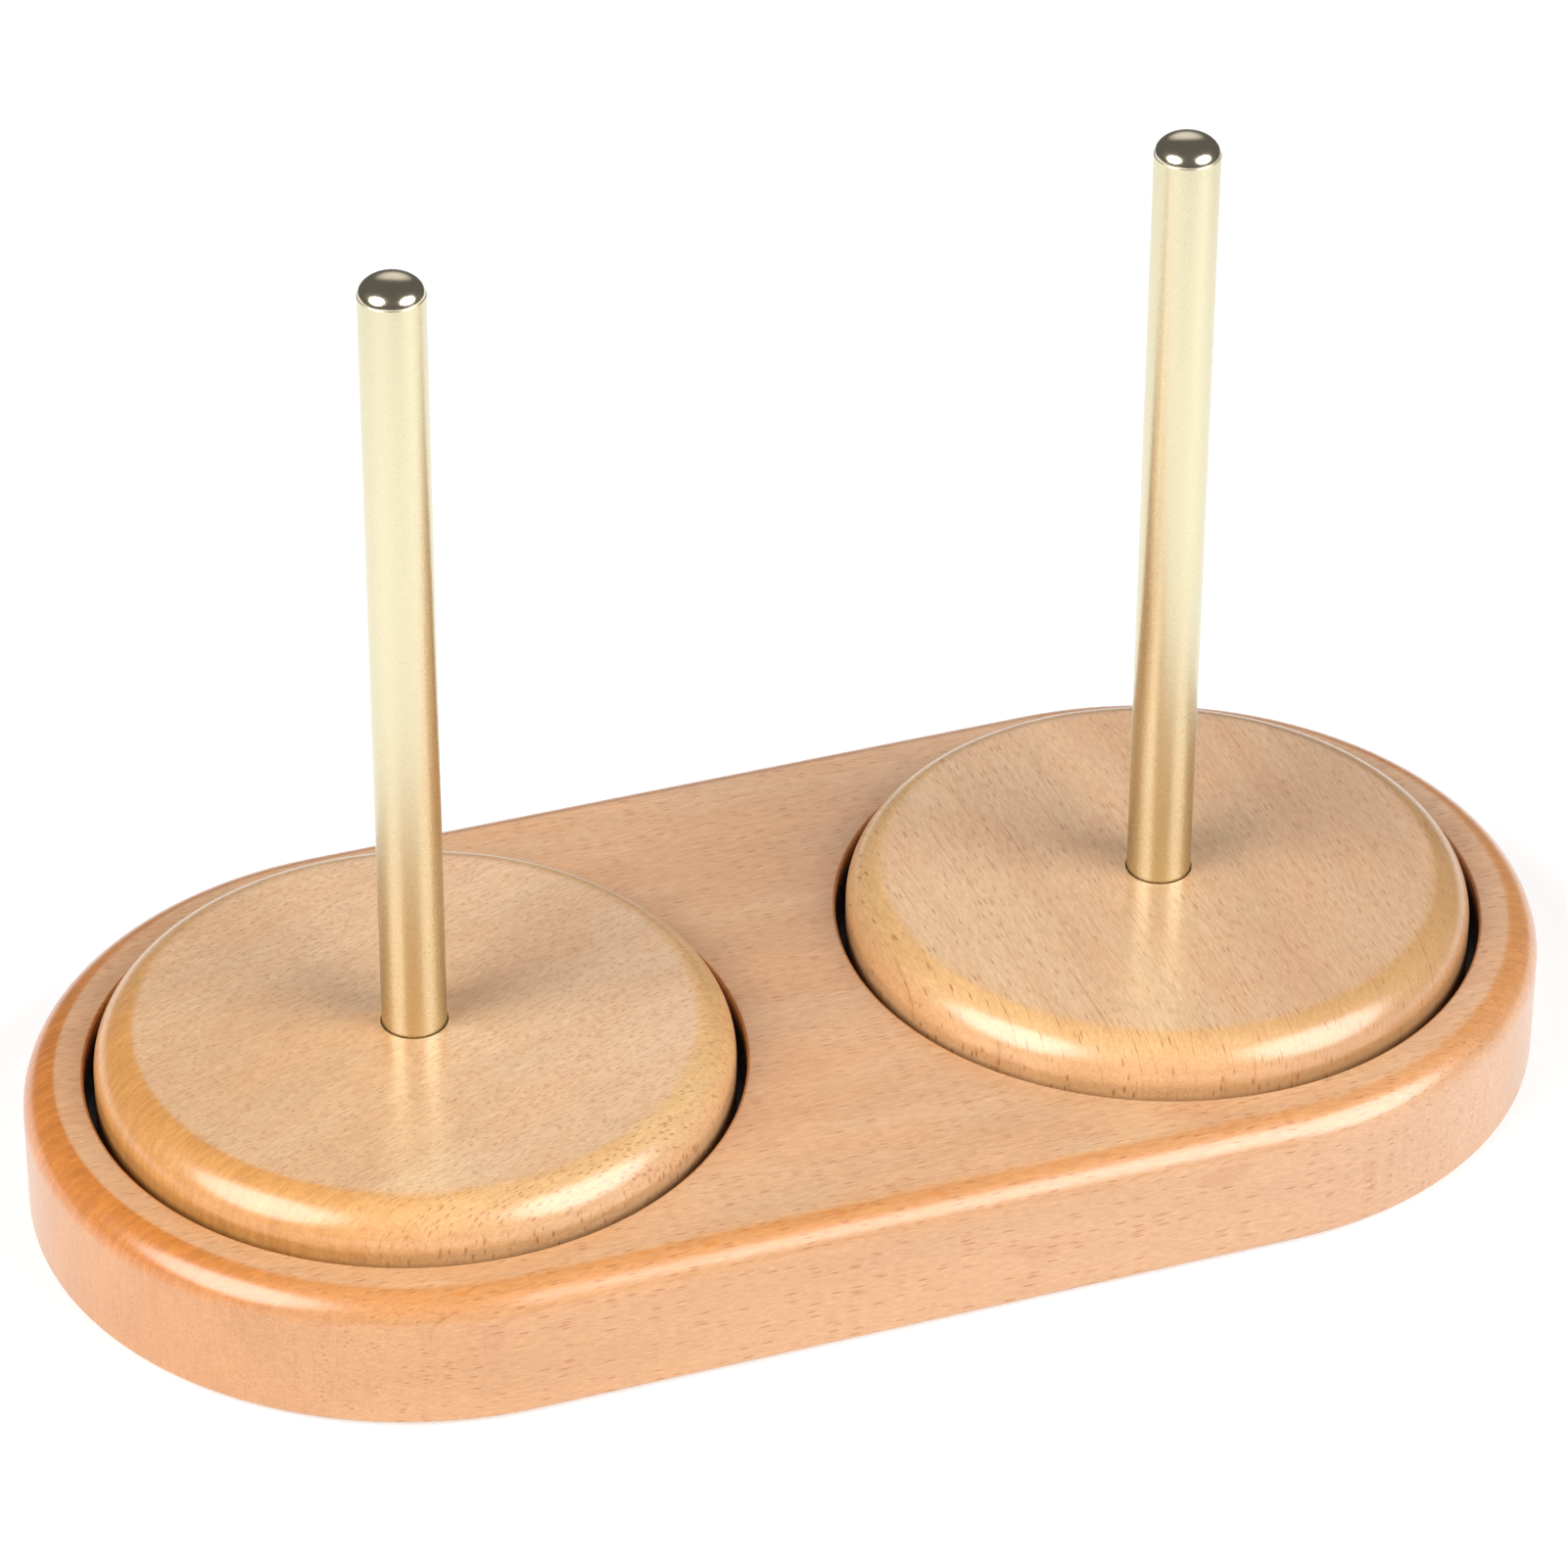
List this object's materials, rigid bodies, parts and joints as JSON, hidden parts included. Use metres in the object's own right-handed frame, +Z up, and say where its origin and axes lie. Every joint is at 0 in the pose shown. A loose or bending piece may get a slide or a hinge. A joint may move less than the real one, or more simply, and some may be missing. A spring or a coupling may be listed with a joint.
{
  "type": "double yarn holder",
  "caption": "Beech yarn holder: a long base with round ends and, side by side in its wells, ball-bearing turntables that each carry an upright brass rod.",
  "frame": {"origin": "centre of the footprint, on the surface that the anti-slip pads stand on", "axes": "+X along the length of the base, from the left rod to the right rod; +Y away from the viewer; +Z up along the rods"},
  "size_m": [0.242, 0.12, 0.162],
  "materials": {
    "base_beech": "satin lacquer",
    "disc_beech": "satin lacquer",
    "rod_brass": "fine brushed",
    "cap_brass": "polished",
    "hub_steel": "zinc plated",
    "screw_steel": "zinc plated",
    "bearing_steel": "ground",
    "ball_steel": "polished",
    "cage_plastic": "moulded",
    "pad_rubber": "matt"
  },
  "bodies": {
    "base": {"base_block": "base_beech", "anti_slip_pads": "pad_rubber", "bearing_outer_ring_left": "bearing_steel", "bearing_upper_shield_left": "bearing_steel", "bearing_lower_shield_left": "bearing_steel", "bearing_outer_ring_right": "bearing_steel", "bearing_upper_shield_right": "bearing_steel", "bearing_lower_shield_right": "bearing_steel"},
    "turntable_left": {"turntable_disc_left": "disc_beech", "spindle_hub_left": "hub_steel", "hub_screws_left": "screw_steel", "rod_tube_left": "rod_brass", "rod_cap_left": "cap_brass", "rod_stud_left": "screw_steel", "bearing_inner_ring_left": "bearing_steel", "retaining_washer_left": "screw_steel", "retaining_screw_left": "screw_steel"},
    "turntable_right": {"turntable_disc_right": "disc_beech", "spindle_hub_right": "hub_steel", "hub_screws_right": "screw_steel", "rod_tube_right": "rod_brass", "rod_cap_right": "cap_brass", "rod_stud_right": "screw_steel", "bearing_inner_ring_right": "bearing_steel", "retaining_washer_right": "screw_steel", "retaining_screw_right": "screw_steel"},
    "ball_set_left": {"bearing_balls_left": "ball_steel", "bearing_cage_left": "cage_plastic"},
    "ball_set_right": {"bearing_balls_right": "ball_steel", "bearing_cage_right": "cage_plastic"}
  },
  "joints": [
    {"name": "turntable_spin_left", "type": "hinge", "parent": "base", "child": "turntable_left", "pos_m": [-0.061, 0, 0.009], "axis": [0, 0, 1], "continuous": true},
    {"name": "turntable_spin_right", "type": "hinge", "parent": "base", "child": "turntable_right", "pos_m": [0.061, 0, 0.009], "axis": [0, 0, 1], "continuous": true},
    {"name": "ball_set_spin_left", "type": "hinge", "parent": "base", "child": "ball_set_left", "pos_m": [-0.061, 0, 0.009], "axis": [0, 0, 1], "continuous": true},
    {"name": "ball_set_spin_right", "type": "hinge", "parent": "base", "child": "ball_set_right", "pos_m": [0.061, 0, 0.009], "axis": [0, 0, 1], "continuous": true}
  ],
  "couplings": [
    {"joint": "ball_set_spin_left", "follows": "turntable_spin_left", "ratio": 0.3677},
    {"joint": "ball_set_spin_right", "follows": "turntable_spin_right", "ratio": 0.3677}
  ]
}
